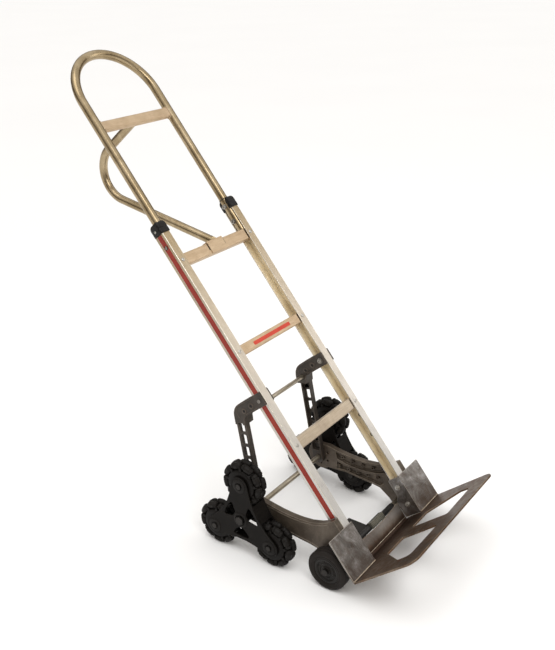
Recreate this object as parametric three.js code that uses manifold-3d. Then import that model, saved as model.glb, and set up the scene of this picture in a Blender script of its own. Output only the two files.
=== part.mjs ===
// Stair climbing trolley: an upright two-rail hand truck leaning back on two small front wheels and two three-wheel stars.
// Millimetres, +Z up, +Y towards the person pushing (rear), -Y towards the toe plate (front), X across.
// "left" is the -X side and "right" the +X side, as seen from the front.
import * as THREE from "three";
import Module from "manifold-3d";
import { mergeVertices } from "three/addons/utils/BufferGeometryUtils.js";

// ---------------------------------------------------------------- driving dimensions
const LEAN_DEG = 38.5; // lean of the frame from vertical
const HEEL_Y = -279.9, HEEL_Z = 67.5; // heel of the frame: rail front face at the toe plate, before centring
const GAP = 0.3; // air left between pieces that touch
const RAIL_OUT = 155.7, RAIL_W = 25.9, RAIL_D = 34.9, RAIL_V0 = 8, RAIL_V1 = 1026; // channel rails
const WEB_T = 4.3, FLANGE_T = 2.9, GROOVE_W = 17, GROOVE_D = 1.7; // rail section
const RAIL_IN = RAIL_OUT - RAIL_W;
const TUBE_R = 12.7, TUBE_X = 137, TUBE_W = -17.45, TUBE_V0 = 932.2, TUBE_BEND_V = 1403; // loop handle
const HBAR_V = [1311.5, 1343.5], HBAR_W = [-26.5, -8.5]; // crossbar inside the loop
const GRIP_R = 12, GRIP_V = 1330, GRIP_BEND = 81.6, GRIP_SLOPE_V = 948, GRIP_SLOPE_W = -22; // D grip
const BARS = { upper: [898.7, 931.4], middle: [620.6, 649.2], lower: [336.8, 368.6] }; // frame crossbars
const BAR_W = [-30, -4];
const CAP_V = [1000, 1034];
const TOE_PITCH_DEG = 1.8, TOE_V = -3.9, TOE_T = 5, TOE_X = 228.5, TOE_W = 213; // toe plate
const EAR_X = 230, EAR_V = 113.5, EAR_W = [0.4, 4.9]; // side plates of the nose
const FLANGE_X = [125, 129.4];
const STRIP_W = -45.4, KICK_W = -41, KICK_V = 47; // floor strip between the brackets, centre plate standing at its rear edge
const HUB_Y = 66.7, HUB_Z = 115.53, MAIN_R = 7.5; // main axle
const STAR_R = 106.06, STAR_WHEEL_R = 62.5, STAR_X = 207.3; // hub to wheel axle, wheel radius, mid-plane
const PIN_R = 5;
const FRONT_Y = -196.6, FRONT_Z = 56.7, FRONT_R = 56.7, FRONT_AXLE_R = 7; // small front wheels
const FRONT_X = [187, 223];
const ROD_V = 486, ROD_W = -109, ROD_R = 6; // tie rod between the support legs
const ARM_X = [157.2, 174], LEG_X = [141.5, 156.8], HEAD_X = [124.8, 161.4];
const SEG = 28;

// ---------------------------------------------------------------- frame of the leaning truck
const TH = THREE.MathUtils.degToRad(LEAN_DEG), S = Math.sin(TH), C = Math.cos(TH);
// (v along the rails, w forward of the rail front faces) to level (y, z)
const lv = (v, w) => [HEEL_Y + v * S - w * C, HEEL_Z + v * C + w * S];

const wasm = await Module();
wasm.setup();

// ---------------------------------------------------------------- geometry helpers
function solid(geo) {
  const g = geo.clone();
  g.deleteAttribute("normal");
  g.deleteAttribute("uv");
  const m = mergeVertices(g, 1e-4);
  let made = new wasm.Manifold(new wasm.Mesh({ numProp: 3, vertProperties: new Float32Array(m.attributes.position.array), triVerts: new Uint32Array(m.index.array) }));
  return made;
}
function geometry(man) {
  const m = man.getMesh(), n = m.numProp, pos = new Float32Array(m.numVert * 3);
  for (let i = 0; i < m.numVert; i++) for (let k = 0; k < 3; k++) pos[3 * i + k] = m.vertProperties[n * i + k];
  const g = new THREE.BufferGeometry();
  g.setAttribute("position", new THREE.BufferAttribute(pos, 3));
  g.setIndex(new THREE.BufferAttribute(new Uint32Array(m.triVerts), 1));
  g.computeVertexNormals();
  return g;
}
// corners of a closed outline rounded with true arcs; corners are [a, b, radius]
function rounded(corners, step = 15) {
  const out = [], n = corners.length;
  for (let i = 0; i < n; i++) {
    const [px, py] = corners[(i + n - 1) % n], [x, y, r = 0] = corners[i], [qx, qy] = corners[(i + 1) % n];
    const a = new THREE.Vector2(px - x, py - y), b = new THREE.Vector2(qx - x, qy - y), la = a.length(), lb = b.length();
    a.divideScalar(la); b.divideScalar(lb);
    const half = Math.acos(THREE.MathUtils.clamp(a.dot(b), -1, 1)) / 2;
    if (r < 0.05 || half > Math.PI / 2 - 0.01) { out.push(new THREE.Vector2(x, y)); continue; }
    const t = Math.min(r / Math.tan(half), 0.49 * la, 0.49 * lb), rr = t * Math.tan(half);
    const c = a.clone().add(b).normalize().multiplyScalar(rr / Math.sin(half)).add(new THREE.Vector2(x, y));
    const s = new THREE.Vector2(x, y).addScaledVector(a, t), e = new THREE.Vector2(x, y).addScaledVector(b, t);
    const a0 = Math.atan2(s.y - c.y, s.x - c.x);
    let d = Math.atan2(e.y - c.y, e.x - c.x) - a0;
    if (d > Math.PI) d -= 2 * Math.PI;
    if (d < -Math.PI) d += 2 * Math.PI;
    const k = Math.max(1, Math.ceil(Math.abs(d) / THREE.MathUtils.degToRad(step)));
    for (let j = 0; j <= k; j++) out.push(new THREE.Vector2(c.x + rr * Math.cos(a0 + (d * j) / k), c.y + rr * Math.sin(a0 + (d * j) / k)));
  }
  return out;
}
const shapeOf = (pts) => new THREE.Shape(pts.map((p) => (p.isVector2 ? p : new THREE.Vector2(p[0], p[1]))));
const extrude = (pts, depth) => new THREE.ExtrudeGeometry(shapeOf(pts), { depth, bevelEnabled: false, steps: 1 });
const basis = (ax, ay, az) => new THREE.Matrix4().makeBasis(new THREE.Vector3(...ax), new THREE.Vector3(...ay), new THREE.Vector3(...az));
// outline in (y, z), thickness along x
const plateX = (pts, x0, x1) => extrude(pts, x1 - x0).applyMatrix4(basis([0, 1, 0], [0, 0, 1], [1, 0, 0])).translate(x0, 0, 0);
// outline in (x, v) of the truck frame, thickness along w
const plateW = (pts, w0, w1) => extrude(pts, w1 - w0).applyMatrix4(basis([1, 0, 0], [0, 0, 1], [0, -1, 0])).translate(0, -w0, 0);
// outline in (x, w) of the truck frame, thickness along v
const plateV = (pts, v0, v1) => extrude(pts.map((p) => (p.isVector2 ? [p.x, -p.y] : [p[0], -p[1]])), v1 - v0).translate(0, 0, v0);
const boxOf = (x0, x1, y0, y1, z0, z1) => new THREE.BoxGeometry(x1 - x0, y1 - y0, z1 - z0).translate((x0 + x1) / 2, (y0 + y1) / 2, (z0 + z1) / 2);
const boxT = (x0, x1, v0, v1, w0, w1) => boxOf(x0, x1, -w1, -w0, v0, v1);
const rodX = (r, x0, x1, y, z, seg = SEG) => new THREE.CylinderGeometry(r, r, x1 - x0, seg).rotateZ(-Math.PI / 2).translate((x0 + x1) / 2, y, z);
const rodXT = (r, x0, x1, v, w, seg = SEG) => rodX(r, x0, x1, -w, v, seg);
const rodV = (r, x, w, v0, v1, seg = 24) => new THREE.CylinderGeometry(r, r, v1 - v0, seg).rotateX(Math.PI / 2).translate(x, -w, (v0 + v1) / 2);
const add = (...g) => g.map((q) => (q.isBufferGeometry ? solid(q) : q)).reduce((a, b) => a.add(b));
const cut = (a, ...g) => g.map((q) => (q.isBufferGeometry ? solid(q) : q)).reduce((s, b) => s.subtract(b), a.isBufferGeometry ? solid(a) : a);
const mirrorX = (man) => { // the same solid on the other side of x = 0
  const g = geometry(man);
  g.scale(-1, 1, 1);
  const idx = g.index.array;
  for (let i = 0; i < idx.length; i += 3) [idx[i + 1], idx[i + 2]] = [idx[i + 2], idx[i + 1]];
  return solid(g);
};

// a polyline path swept at exactly its own points
class Path extends THREE.Curve {
  constructor(pts, tans) { super(); this.pts = pts; this.tans = tans; }
  getPoint(t, target = new THREE.Vector3()) {
    const n = this.pts.length - 1, f = Math.min(n, Math.max(0, t * n)), i = Math.min(n - 1, Math.floor(f));
    return target.copy(this.pts[i]).lerp(this.pts[i + 1], f - i);
  }
  getTangent(t, target = new THREE.Vector3()) {
    return target.copy(this.tans[Math.round(t * (this.pts.length - 1))]);
  }
  getUtoTmapping(u) { return u; }
  getLengths() { return [0, 1]; }
}
const ring = (r, seg, hole, holeSeg) => {
  const s = new THREE.Shape(Array.from({ length: seg }, (_, i) => new THREE.Vector2(r * Math.cos((2 * Math.PI * i) / seg), r * Math.sin((2 * Math.PI * i) / seg))));
  if (hole) s.holes.push(new THREE.Path(Array.from({ length: holeSeg }, (_, i) => new THREE.Vector2(hole * Math.cos((2 * Math.PI * i) / holeSeg), -hole * Math.sin((2 * Math.PI * i) / holeSeg)))));
  return s;
};
function sweep(shape, pts, tans) {
  const g = new THREE.ExtrudeGeometry(shape, { steps: pts.length - 1, bevelEnabled: false, extrudePath: new Path(pts, tans) });
  return solid(g);
}

// ---------------------------------------------------------------- materials
const mat = (color, roughness, metalness) => new THREE.MeshStandardMaterial({ color, roughness, metalness });
const LOOK = {
  alloy: () => mat(0xb9b4ab, 0.42, 0.9), tube: () => mat(0xa8926f, 0.34, 0.95), bar: () => mat(0xc3ab8e, 0.5, 0.6),
  strip: () => mat(0x86352a, 0.55, 0.0), black: () => mat(0x161514, 0.55, 0.0), casting: () => mat(0x463e37, 0.6, 0.3),
  steel: () => mat(0x6d655c, 0.5, 0.85), zinc: () => mat(0xb7b4ae, 0.35, 0.95), rod: () => mat(0x8d8878, 0.4, 0.9),
  tyre: () => mat(0x2c2725, 0.8, 0.0), hub: () => mat(0x3a3431, 0.6, 0.1), roller: () => mat(0x221f1d, 0.65, 0.0), tread: () => mat(0x6b675e, 0.6, 0.5),
};
const trolley = new THREE.Group(); trolley.name = "stair_climbing_trolley";
const level = new THREE.Group(); level.name = "level"; // pieces set out in level coordinates
const truck = new THREE.Group(); truck.name = "truck"; // pieces set out along the leaning frame
truck.rotation.x = -TH;
truck.position.set(0, HEEL_Y, HEEL_Z);
trolley.add(level); level.add(truck);
function place(group, name, shape, look) {
  const g = shape.isBufferGeometry ? shape : geometry(shape);
  const m = new THREE.Mesh(g, LOOK[look]());
  m.name = name;
  group.add(m);
  return m;
}
function pair(group, name, rightShape, look) { // rightShape is the +X one
  const r = rightShape.isBufferGeometry ? solid(rightShape) : rightShape;
  place(group, name + "_right", r, look);
  place(group, name + "_left", mirrorX(r), look);
}

// ---------------------------------------------------------------- rails: inward-facing channels with a grooved web
{
  const o = RAIL_OUT, gw0 = -(RAIL_D - GROOVE_W) / 2 - GROOVE_W, gw1 = -(RAIL_D - GROOVE_W) / 2;
  const sec = [[RAIL_IN, 0], [o - 1, 0], [o, -1], [o, gw1], [o - GROOVE_D, gw1], [o - GROOVE_D, gw0], [o, gw0], [o, -RAIL_D + 1], [o - 1, -RAIL_D], [RAIL_IN, -RAIL_D],
    [RAIL_IN, -RAIL_D + FLANGE_T], [o - WEB_T, -RAIL_D + FLANGE_T], [o - WEB_T, -FLANGE_T], [RAIL_IN, -FLANGE_T]];
  let rail = solid(plateV(sec.slice().reverse(), RAIL_V0, RAIL_V1));
  for (const v of [1012, 963]) rail = cut(rail, rodXT(4.3, 140, 170, v, TUBE_W, 16));
  rail = cut(rail, rodXT(4.3, 140, 170, 500, -17.45, 16));
  for (const v of [30, 84]) rail = cut(rail, rodXT(4.3, 140, 170, v, -20, 16));
  for (const v of [311, 246]) rail = cut(rail, rodXT(3.2, 140, 170, v, -20, 12));
  pair(truck, "rail", rail, "alloy");

  // coloured strip pressed into the groove of the web
  const sx0 = o - GROOVE_D + GAP, sx1 = o + 0.3;
  let strip = solid(plateV([[sx0, gw0 + GAP], [sx1 - 0.5, gw0 + GAP], [sx1, gw0 + 1.2], [sx1, gw1 - 1.2], [sx1 - 0.5, gw1 - GAP], [sx0, gw1 - GAP]].reverse(), 146, 998.5));
  strip = cut(strip, rodXT(6.6, 140, 170, 963, TUBE_W, 20), rodXT(6.6, 140, 170, 500, -17.45, 20));
  pair(truck, "rail_strip", strip, "strip");
}

// ---------------------------------------------------------------- rail top caps, open towards the tube
{
  const [v0, v1] = CAP_V;
  const outer = rounded([[127.6, 3.3, 2], [160.2, 3.3, 7], [160.2, -38.3, 13], [127.6, -38.3, 4]], 18);
  let cap = solid(plateV(outer.slice().reverse(), v0, v1));
  cap = cut(cap, boxT(120, RAIL_OUT + 0.7, v0 - 1, RAIL_V1 + GAP, -RAIL_D - GAP, GAP), rodV(TUBE_R + GAP + 0.15, TUBE_X, TUBE_W, v0 - 1, v1 + 1, 32), rodXT(4.3, 150, 170, 1012, TUBE_W, 16));
  // sloping shoulders at the front, rear and outer edges of the top
  cap = cut(cap, plateX([[-8, v1 + 0.1], [-3, v1 + 0.1], [-3, v1 - 5]], 120, 170));
  cap = cut(cap, plateX([[39, v1 + 0.1], [26, v1 + 0.1], [33, v1 - 3.2], [39, v1 - 12]], 120, 170));
  pair(truck, "rail_cap", cap, "black");
}

// ---------------------------------------------------------------- loop handle
{
  const pts = [], tans = [], N = 18;
  pts.push(new THREE.Vector3(TUBE_X, -TUBE_W, TUBE_V0)); tans.push(new THREE.Vector3(0, 0, 1));
  for (let i = 0; i <= N; i++) {
    const a = (Math.PI * i) / N;
    pts.push(new THREE.Vector3(TUBE_X * Math.cos(a), -TUBE_W, TUBE_BEND_V + TUBE_X * Math.sin(a)));
    tans.push(new THREE.Vector3(-Math.sin(a), 0, Math.cos(a)));
  }
  pts.push(new THREE.Vector3(-TUBE_X, -TUBE_W, TUBE_V0)); tans.push(new THREE.Vector3(0, 0, -1));
  let loop = sweep(ring(TUBE_R, 16, TUBE_R - 2, 8), pts, tans);
  for (const v of [1012, 963]) loop = cut(loop, rodXT(4.3, -160, 160, v, TUBE_W, 16));
  place(truck, "loop_handle", loop, "tube");
}
// handle crossbar: flattened tube coped onto the loop
{
  const [v0, v1] = HBAR_V, [w0, w1] = HBAR_W;
  const sec = (e, r) => rounded([[-w1 + e, v0 + e, r], [-w0 - e, v0 + e, r], [-w0 - e, v1 - e, r], [-w1 + e, v1 - e, r]], 20);
  let bar = solid(plateX(sec(0, 8.6), -131, 131));
  bar = cut(bar, plateX(sec(2.2, 6.6), -140, 140));
  for (const x of [-TUBE_X, TUBE_X]) bar = cut(bar, rodV(TUBE_R + GAP, x, TUBE_W, v0 - 5, v1 + 5, 32));
  place(truck, "handle_crossbar", bar, "bar");
}
// D grip reaching back from the handle crossbar and down to the upper crossbar
{
  const pts = [], tans = [], R = GRIP_BEND, dv = -0.768, dw = 0.6404;
  const turn = Math.acos(-dw), w0 = HBAR_W[0] - GAP;
  const kw = GRIP_SLOPE_W - ((GRIP_V - GRIP_SLOPE_V) / -dv) * dw, T = R * Math.tan(turn / 2), cw = kw + T; // bend start
  const P = (v, w) => new THREE.Vector3(0, -w, v);
  pts.push(P(GRIP_V, w0)); tans.push(P(0, -1));
  const N = 12;
  for (let i = 0; i <= N; i++) {
    const a = (turn * i) / N;
    pts.push(P(GRIP_V - R + R * Math.cos(a), cw - R * Math.sin(a)));
    tans.push(P(-Math.sin(a), -Math.cos(a)));
  }
  const k = (925 - GRIP_SLOPE_V) / dv;
  pts.push(P(925, GRIP_SLOPE_W + k * dw)); tans.push(P(dv, dw));
  let grip = sweep(ring(GRIP_R, 16, GRIP_R - 2, 8), pts, tans);
  grip = cut(grip, boxT(-30, 30, 880, 935.9, -60, 40), boxT(-30, 30, 930, 1000, -1.2, 40));
  place(truck, "d_grip_handle", grip, "tube");
  // saddle that ties the lower end of the grip to the upper crossbar
  const saddle = add(boxT(-31, 31, 899.5, 935.6, -3.7, -1.3), boxT(-31, 31, 931.8, 935.6, -30, -1.3));
  place(truck, "grip_saddle", saddle, "bar");
}

// ---------------------------------------------------------------- crossbars of the frame: box tubes held between the rail flanges
for (const [name, [v0, v1]] of Object.entries(BARS)) {
  const [w0, w1] = BAR_W, x = RAIL_OUT - WEB_T - GAP - 0.2;
  const sec = (e, r) => rounded([[-w1 + e, v0 + e, r], [-w0 - e, v0 + e, r], [-w0 - e, v1 - e, r], [-w1 + e, v1 - e, r]], 30);
  let bar = solid(plateX(sec(0, 3), -x, x));
  bar = cut(bar, plateX(sec(2.2, 1.5), -x - 5, x + 5));
  place(truck, "crossbar_" + name, bar, "bar");
}

// ---------------------------------------------------------------- bolts that hold the loop handle in the rails
{
  const hex = (r, x0, x1, v, w) => rodXT(r, x0, x1, v, w, 6);
  const bolt = (v, deep) => {
    const x1 = deep ? 160.7 : 156.5;
    return add(rodXT(3.6, 119.5, x1, v, TUBE_W, 16), rodXT(6.0, x1 - 0.5, x1 + 2.4, v, TUBE_W, 16), hex(6.6, 118.4, 123.9, v, TUBE_W));
  };
  pair(truck, "handle_bolt_top", bolt(1012, true), "zinc");
  pair(truck, "handle_bolt_low", bolt(963, false), "zinc");
}

// ---------------------------------------------------------------- nose: toe plate bent up into a centre plate, and a bracket on each side
{
  const pitch = THREE.MathUtils.degToRad(TOE_PITCH_DEG);
  const tilt = (g) => g.rotateX(-pitch).translate(0, 0, TOE_V); // about the heel line, front edge up
  const xc = FLANGE_X[0] - GAP - 0.1;
  const outline = rounded([[-xc, STRIP_W, 0], [-xc, 0.5, 0], [-TOE_X, 0.5, 2], [-TOE_X, TOE_W, 28], [TOE_X, TOE_W, 28], [TOE_X, 0.5, 2], [xc, 0.5, 0], [xc, STRIP_W, 0]].reverse(), 15);
  const win = (s) => { const c = [[27, 36, 5], [106, 36, 8], [176, 122, 12], [172, 160, 16], [27, 163, 7]].map(([x, w, r]) => [s * x, w, r]); return rounded(s > 0 ? c : c.reverse(), 22); };
  let toe = solid(tilt(plateV(outline, -TOE_T, 0)));
  for (const s of [-1, 1]) toe = cut(toe, tilt(plateV(win(s), -TOE_T - 4, 4)));
  // centre plate standing at the rear edge of the floor strip, with the bend at its foot
  const xk = 112, vs = TOE_V + Math.tan(pitch) * STRIP_W;
  const top = []; for (let i = 0; i <= 10; i++) { const x = xk - (2 * xk * i) / 10; top.push([x, KICK_V - 6 * Math.cos((Math.PI * x) / (2 * xk)) ** 1.2]); }
  toe = toe.add(solid(plateW([[-xk, vs - 4], [xk, vs - 4], ...top], STRIP_W, KICK_W)));
  const B = 9, vk = TOE_V + Math.tan(pitch) * KICK_W, bend = [[-STRIP_W - 0.6, vs - 3.6], [-KICK_W - B - 1, vk - 3.2]]; // concave bend, in (y, v)
  for (let i = 0; i <= 6; i++) { const a = (Math.PI / 2) * (i / 6); bend.push([-KICK_W + 0.6 - B + B * Math.sin(a), vk - 0.2 + B - B * Math.cos(a)]); }
  bend.push([-STRIP_W - 0.6, vk + B]);
  toe = toe.add(solid(plateX(bend, -xk, xk)));
  place(truck, "toe_plate", toe, "steel");

  // side bracket: an upright plate in front of the rail, folded back along the inside of the rail
  const v0 = TOE_V + 0.6;
  let ear = solid(plateW(rounded([[FLANGE_X[0], v0 + 0.2], [EAR_X, v0 + 0.2], [EAR_X, EAR_V, 3], [FLANGE_X[0], EAR_V, 1]]), EAR_W[0], EAR_W[1]));
  const fl = rounded([[-EAR_W[1], v0 + 0.2], [52, v0 + 0.2, 3], [52, 44, 4], [39, 60, 6], [39, 112, 5], [-EAR_W[1], 112]].reverse(), 30);
  ear = ear.add(solid(plateX(fl.slice().reverse(), FLANGE_X[0], FLANGE_X[1])));
  for (const v of [30, 84]) ear = cut(ear, rodXT(4.3, 110, 140, v, -20, 16));
  pair(truck, "nose_bracket", ear, "steel");
  // two bolts through bracket flange and rail web
  const nb = (v) => add(rodXT(3.8, 119, 156.6, v, -20, 16), rodXT(6.6, 118, 124.6, v, -20, 6));
  pair(truck, "nose_bolt_top", nb(84), "zinc");
  pair(truck, "nose_bolt_low", nb(30), "zinc");
}

// ---------------------------------------------------------------- foot pedal: lever and ridged tread on a sleeve that turns on the front axle
{
  const y = FRONT_Y - HEEL_Y, z = FRONT_Z - HEEL_Z, pv = y * S + z * C, pw = -y * C + z * S;
  let lever = solid(plateW([[-118, pv], [60, pv], [60, 56], [-8.5, 56], [-51, 103], [-118, 103]], pw - 1.2, pw + 1.6));
  lever = lever.add(solid(rodXT(8.4, -121, 121, pv, pw, 24))).add(solid(boxT(-4, 60, 37.5, 55.5, pw - 1, pw + 13.5)));
  for (let i = 0; i < 4; i++) lever = cut(lever, boxT(-10, 70, 39.6 + i * 4, 41.2 + i * 4, pw + 12.4, pw + 20));
  lever = cut(lever, rodXT(7.07, -130, 130, pv, pw, SEG));
  place(truck, "foot_pedal", lever, "tread");
}

// ---------------------------------------------------------------- support legs: a forked head on the rail and a ladder-pierced leg down to the main axle
{
  const top = lv(521, 0), P = (v, w, r) => [...lv(v, w), r];
  const bot = [HUB_Y + 1.2, HUB_Z], up = [113, 372], L = Math.hypot(up[0] - bot[0], up[1] - bot[1]);
  const d = [(bot[0] - up[0]) / L, (bot[1] - up[1]) / L], n = [-d[1], d[0]]; // n points to the rear
  const at = (s, t) => [up[0] + d[0] * s + n[0] * t, up[1] + d[1] * s + n[1] * t];
  const W = 16.75;
  const headOutline = rounded([P(483, -0.6, 2), P(483, -97, 14), [...at(14, -W), 0], [...at(14, W), 0], P(521, -115.3, 40), P(521, -0.6, 4)], 18);
  const legOutline = rounded([[...at(-12, -W), 3], [...at(L + 19, -W), 15], [...at(L + 19, W), 15], [...at(-12, W), 3]].reverse(), 18);
  const ccw = (pts) => { const a = pts.map((p) => (p.isVector2 ? [p.x, p.y] : p)); let s = 0; a.forEach((p, i) => { const q = a[(i + 1) % a.length]; s += p[0] * q[1] - p[1] * q[0]; }); return s < 0 ? a.reverse() : a; };
  let leg = solid(plateX(ccw(headOutline), HEAD_X[0], HEAD_X[1])).add(solid(plateX(ccw(legOutline), LEG_X[0], LEG_X[1])));
  // slot for the rail
  const slot = ccw([lv(470, 3), lv(470, -RAIL_D - GAP - 0.1), lv(530, -RAIL_D - GAP - 0.1), lv(530, 3)]);
  leg = cut(leg, plateX(slot, RAIL_IN - 0.4, RAIL_OUT + 0.7));
  // channel on the inner side and ladder windows
  const chan = ccw(rounded([[...at(10, -W + 4.6), 4], [...at(L - 24, -W + 4.6), 4], [...at(L - 24, W - 4.6), 4], [...at(10, W - 4.6), 4]], 45));
  leg = cut(leg, plateX(chan, LEG_X[0] - 1, LEG_X[1] - 5.2));
  for (let i = 0; i < 6; i++) {
    const s0 = 8 + i * 36.3, win = ccw(rounded([[...at(s0, -9), 4], [...at(s0 + 28, -9), 4], [...at(s0 + 28, 9), 4], [...at(s0, 9), 4]], 45));
    leg = cut(leg, plateX(win, LEG_X[0] - 5, LEG_X[1] + 5));
  }
  const rodAt = lv(ROD_V, ROD_W);
  leg = cut(leg, rodX(ROD_R + GAP, 100, 158, ...rodAt, 24), rodX(MAIN_R + GAP, 100, 200, HUB_Y, HUB_Z, 32));
  leg = cut(leg, rodX(4.3, 100, 200, ...lv(500, -17.45), 16), rodX(4.3, 100, 200, ...lv(500, -52), 16));
  pair(level, "support_leg", leg, "casting");
  const lb = add(rodX(3.8, 121, 163.5, ...lv(500, -17.45), 16), rodX(6.6, 161.7, 165.4, ...lv(500, -17.45), 16), rodX(6.8, 119.4, 124.5, ...lv(500, -17.45), 6));
  pair(level, "leg_bolt_front", lb, "zinc");
  place(level, "tie_rod", rodX(ROD_R, -157.4, 157.4, ...rodAt, 24), "rod");

  // lower arms: from the main axle forward to the foot of the rail and the front axle
  const top2 = [[43, 155], [10, 149], [-23, 144.5], [-55, 142.5], [-87, 143], [-119, 147], [-150, 156.5], [-171, 167], [-190, 179]];
  const low2 = [[-183, 48], [-137, 74], [-111, 78], [-70, 81], [-17, 86], [22, 82]];
  const arc = (cy, cz, r, a0, a1, k) => Array.from({ length: k + 1 }, (_, i) => { const a = THREE.MathUtils.degToRad(a0 + ((a1 - a0) * i) / k); return [cy + r * Math.cos(a), cz + r * Math.sin(a)]; });
  const f0 = lv(143.5, -0.6), f1 = lv(12, -0.6), f2 = lv(4, -12);
  const outline = ccw([...top2.slice(0, -1), f0, f1, f2, ...arc(FRONT_Y, FRONT_Z, 21, 215, 300, 6), ...low2.slice(1), ...arc(HUB_Y, HUB_Z, 43, 232, 415, 16)]);
  let arm = solid(plateX(outline, ARM_X[0], ARM_X[1]));
  // hollow on the inner side between an upper and a lower flange, with a rib between
  const up1 = ccw([[16, 143], [-23, 138.5], [-55, 136.5], [-87, 137], [-119, 140.5], [-150, 149], [-172, 160], [-176, 152], [-150, 128], [-119, 118], [-87, 113], [-55, 112], [-23, 114], [8, 121]]);
  const lo1 = ccw([[10, 112], [-23, 106], [-55, 104], [-87, 105], [-119, 109.5], [-146, 116], [-150, 92], [-137, 81], [-111, 84], [-70, 87], [-17, 92], [12, 89]]);
  arm = cut(arm, plateX(up1, ARM_X[0] - 1, ARM_X[0] + 8.5), plateX(lo1, ARM_X[0] - 1, ARM_X[0] + 8.5));
  for (let i = 0; i < 6; i++) { const a = (Math.PI / 3) * i + 0.5; arm = cut(arm, rodX(4.2, ARM_X[0] - 1, ARM_X[0] + 8, HUB_Y + 27 * Math.cos(a), HUB_Z + 27 * Math.sin(a), 12)); }
  arm = cut(arm, rodX(MAIN_R + GAP, 150, 180, HUB_Y, HUB_Z, 32), rodX(FRONT_AXLE_R + GAP, 150, 180, FRONT_Y, FRONT_Z, 32));
  pair(level, "lower_arm", arm, "casting");
}

// ---------------------------------------------------------------- front axle and wheels
{
  const y = FRONT_Y, z = FRONT_Z, [x0, x1] = FRONT_X, xm = (x0 + x1) / 2;
  place(level, "front_axle", rodX(FRONT_AXLE_R, -228, 228, y, z, SEG), "rod");
  const lathe = (pts, seg) => { // profile of [x, radius], turned about the x axis
    const g = new THREE.LatheGeometry(pts.map(([x, r]) => new THREE.Vector2(r, x)), seg);
    return solid(g.rotateZ(-Math.PI / 2));
  };
  const spin = (pts, seg, yy, zz) => { const closed = [...pts, pts[0]]; let s; try { s = lathe(closed, seg); if (s.volume() < 0) throw 0; } catch { s = lathe(closed.slice().reverse(), seg); } return solid(geometry(s).translate(0, yy, zz)); };
  const tyre = spin([[x0 + 3, 36.3], [x1 - 3, 36.3], [x1 - 0.5, 40], [x1, 45], [x1 - 1.5, 52], [x1 - 6, FRONT_R], [x0 + 6, FRONT_R], [x0 + 1.5, 52], [x0, 45], [x0 + 0.5, 40]], 36, y, z);
  pair(level, "front_tyre", tyre, "tyre");
  const hub = spin([[x0 + 1, 7.07], [x1 - 0.6, 7.07], [x1 - 0.6, 13], [x1 - 4, 15], [x1 - 6, 28], [x1 - 3.5, 31], [x1 - 3.5, 36], [x0 + 3.5, 36], [x0 + 3.5, 31], [x0 + 6, 28], [x0 + 4, 15], [x0 + 1, 13]], SEG, y, z);
  pair(level, "front_wheel_hub", hub, "hub");
  const nut = cut(rodX(9.5, 223.2, 228.8, y, z, 16), rodX(FRONT_AXLE_R + GAP, 220, 228.3, y, z, SEG));
  pair(level, "front_axle_nut", nut, "zinc");
}

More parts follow.
